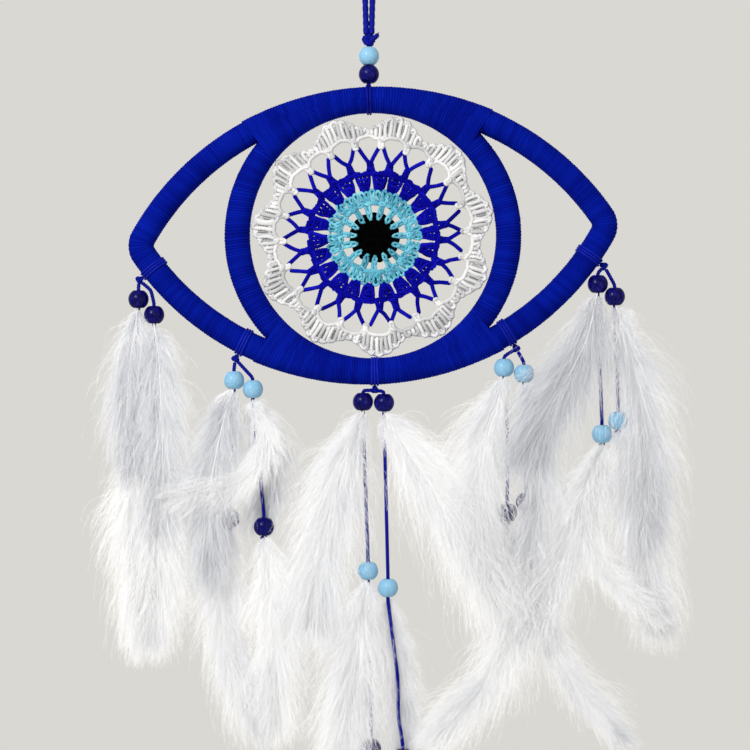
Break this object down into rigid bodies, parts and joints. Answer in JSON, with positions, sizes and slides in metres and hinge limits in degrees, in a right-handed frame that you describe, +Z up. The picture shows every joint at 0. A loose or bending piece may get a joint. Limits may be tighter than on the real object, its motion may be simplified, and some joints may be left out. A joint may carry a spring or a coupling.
{
  "type": "evil eye ornament",
  "caption": "Hanging evil eye: a yarn-wrapped almond frame and ring around a crocheted eye, with beaded feather tassels on cords.",
  "frame": {"origin": "where the top of the hanging loop rests on its hook", "axes": "+Z up, the front of the eye faces -Y, +X to the viewer's right"},
  "size_m": [0.2739, 0.0154, 0.5146],
  "materials": {
    "yarn": "matt cotton yarn, wound",
    "satin_cord": "satin cord",
    "wire": "plain drawn wire",
    "navy_bead": "stained and lacquered wood",
    "pale_bead": "satin painted wood",
    "black_cotton": "crocheted cotton",
    "pale_cotton": "crocheted cotton",
    "blue_cotton": "crocheted cotton",
    "white_cotton": "crocheted cotton",
    "feather": "soft marabou down"
  },
  "bodies": {
    "hanger": {"hang_cord": "satin_cord", "hang_knot": "satin_cord"},
    "stem": {"hanger_stem": "satin_cord"},
    "upper_loop_bead": {"hanger_upper_bead": "pale_bead"},
    "lower_loop_bead": {"hanger_lower_bead": "navy_bead"},
    "top_tie": {"hanger_tie": "satin_cord"},
    "eye": {"ring_hoop": "wire", "left_wing_hoop": "wire", "right_wing_hoop": "wire", "ring_wrap": "yarn", "left_wing_wrap": "yarn", "right_wing_wrap": "yarn", "pupil_round": "black_cotton", "iris_round": "pale_cotton", "blue_round": "blue_cotton", "white_round": "white_cotton", "tassel_ties": "satin_cord"},
    "left_tip_left_strand": {"left_tip_left_cord": "satin_cord", "left_tip_left_upper_bead": "navy_bead", "left_tip_left_lower_bead": "pale_bead", "left_tip_left_feathers": "feather"},
    "left_tip_right_strand": {"left_tip_right_cord": "satin_cord", "left_tip_right_upper_bead": "navy_bead", "left_tip_right_lower_bead": "pale_bead", "left_tip_right_feathers": "feather"},
    "lower_left_left_strand": {"lower_left_left_cord": "satin_cord", "lower_left_left_upper_bead": "pale_bead", "lower_left_left_lower_bead": "navy_bead", "lower_left_left_feathers": "feather"},
    "lower_left_right_strand": {"lower_left_right_cord": "satin_cord", "lower_left_right_upper_bead": "pale_bead", "lower_left_right_lower_bead": "navy_bead", "lower_left_right_feathers": "feather"},
    "bottom_left_strand": {"bottom_left_cord": "satin_cord", "bottom_left_upper_bead": "navy_bead", "bottom_left_lower_bead": "pale_bead", "bottom_left_end_bead": "navy_bead", "bottom_left_feathers": "feather"},
    "bottom_right_strand": {"bottom_right_cord": "satin_cord", "bottom_right_upper_bead": "navy_bead", "bottom_right_lower_bead": "pale_bead", "bottom_right_end_bead": "navy_bead", "bottom_right_feathers": "feather"},
    "lower_right_left_strand": {"lower_right_left_cord": "satin_cord", "lower_right_left_upper_bead": "pale_bead", "lower_right_left_lower_bead": "navy_bead", "lower_right_left_feathers": "feather"},
    "lower_right_right_strand": {"lower_right_right_cord": "satin_cord", "lower_right_right_upper_bead": "pale_bead", "lower_right_right_lower_bead": "navy_bead", "lower_right_right_feathers": "feather"},
    "right_tip_left_strand": {"right_tip_left_cord": "satin_cord", "right_tip_left_upper_bead": "navy_bead", "right_tip_left_lower_bead": "pale_bead", "right_tip_left_feathers": "feather"},
    "right_tip_right_strand": {"right_tip_right_cord": "satin_cord", "right_tip_right_upper_bead": "navy_bead", "right_tip_right_lower_bead": "pale_bead", "right_tip_right_feathers": "feather"}
  },
  "joints": [
    {"name": "eye_twist", "type": "hinge", "parent": "hanger", "child": "stem", "pos_m": [0, 0, -0.0678], "axis": [0, 0, 1], "range_deg": [-90, 90]},
    {"name": "upper_bead_spin", "type": "hinge", "parent": "stem", "child": "upper_loop_bead", "pos_m": [0, 0, -0.0724], "axis": [0, 0, 1], "continuous": true},
    {"name": "lower_bead_spin", "type": "hinge", "parent": "stem", "child": "lower_loop_bead", "pos_m": [0, 0, -0.0813], "axis": [0, 0, 1], "continuous": true},
    {"name": "eye_roll", "type": "hinge", "parent": "stem", "child": "top_tie", "pos_m": [0, 0, -0.0859], "axis": [0, 1, 0], "range_deg": [-8, 8]},
    {"name": "eye_swing", "type": "hinge", "parent": "top_tie", "child": "eye", "pos_m": [0, 0, -0.09383], "axis": [1, 0, 0], "range_deg": [-35, 35]},
    {"name": "left_tip_left_swing", "type": "hinge", "parent": "eye", "child": "left_tip_left_strand", "pos_m": [-0.11215, 0, -0.18177], "axis": [1, 0, 0], "range_deg": [-50, 50]},
    {"name": "left_tip_right_swing", "type": "hinge", "parent": "eye", "child": "left_tip_right_strand", "pos_m": [-0.11215, 0, -0.18177], "axis": [1, 0, 0], "range_deg": [-50, 50]},
    {"name": "lower_left_left_swing", "type": "hinge", "parent": "eye", "child": "lower_left_left_strand", "pos_m": [-0.06513, 0, -0.22026], "axis": [1, 0, 0], "range_deg": [-50, 50]},
    {"name": "lower_left_right_swing", "type": "hinge", "parent": "eye", "child": "lower_left_right_strand", "pos_m": [-0.06513, 0, -0.22026], "axis": [1, 0, 0], "range_deg": [-50, 50]},
    {"name": "bottom_left_swing", "type": "hinge", "parent": "eye", "child": "bottom_left_strand", "pos_m": [0.00292, 0, -0.23549], "axis": [1, 0, 0], "range_deg": [-50, 50]},
    {"name": "bottom_right_swing", "type": "hinge", "parent": "eye", "child": "bottom_right_strand", "pos_m": [0.00292, 0, -0.23549], "axis": [1, 0, 0], "range_deg": [-50, 50]},
    {"name": "lower_right_left_swing", "type": "hinge", "parent": "eye", "child": "lower_right_left_strand", "pos_m": [0.07198, 0, -0.21524], "axis": [1, 0, 0], "range_deg": [-50, 50]},
    {"name": "lower_right_right_swing", "type": "hinge", "parent": "eye", "child": "lower_right_right_strand", "pos_m": [0.07198, 0, -0.21524], "axis": [1, 0, 0], "range_deg": [-50, 50]},
    {"name": "right_tip_left_swing", "type": "hinge", "parent": "eye", "child": "right_tip_left_strand", "pos_m": [0.11494, 0, -0.17503], "axis": [1, 0, 0], "range_deg": [-50, 50]},
    {"name": "right_tip_right_swing", "type": "hinge", "parent": "eye", "child": "right_tip_right_strand", "pos_m": [0.11494, 0, -0.17503], "axis": [1, 0, 0], "range_deg": [-50, 50]}
  ]
}
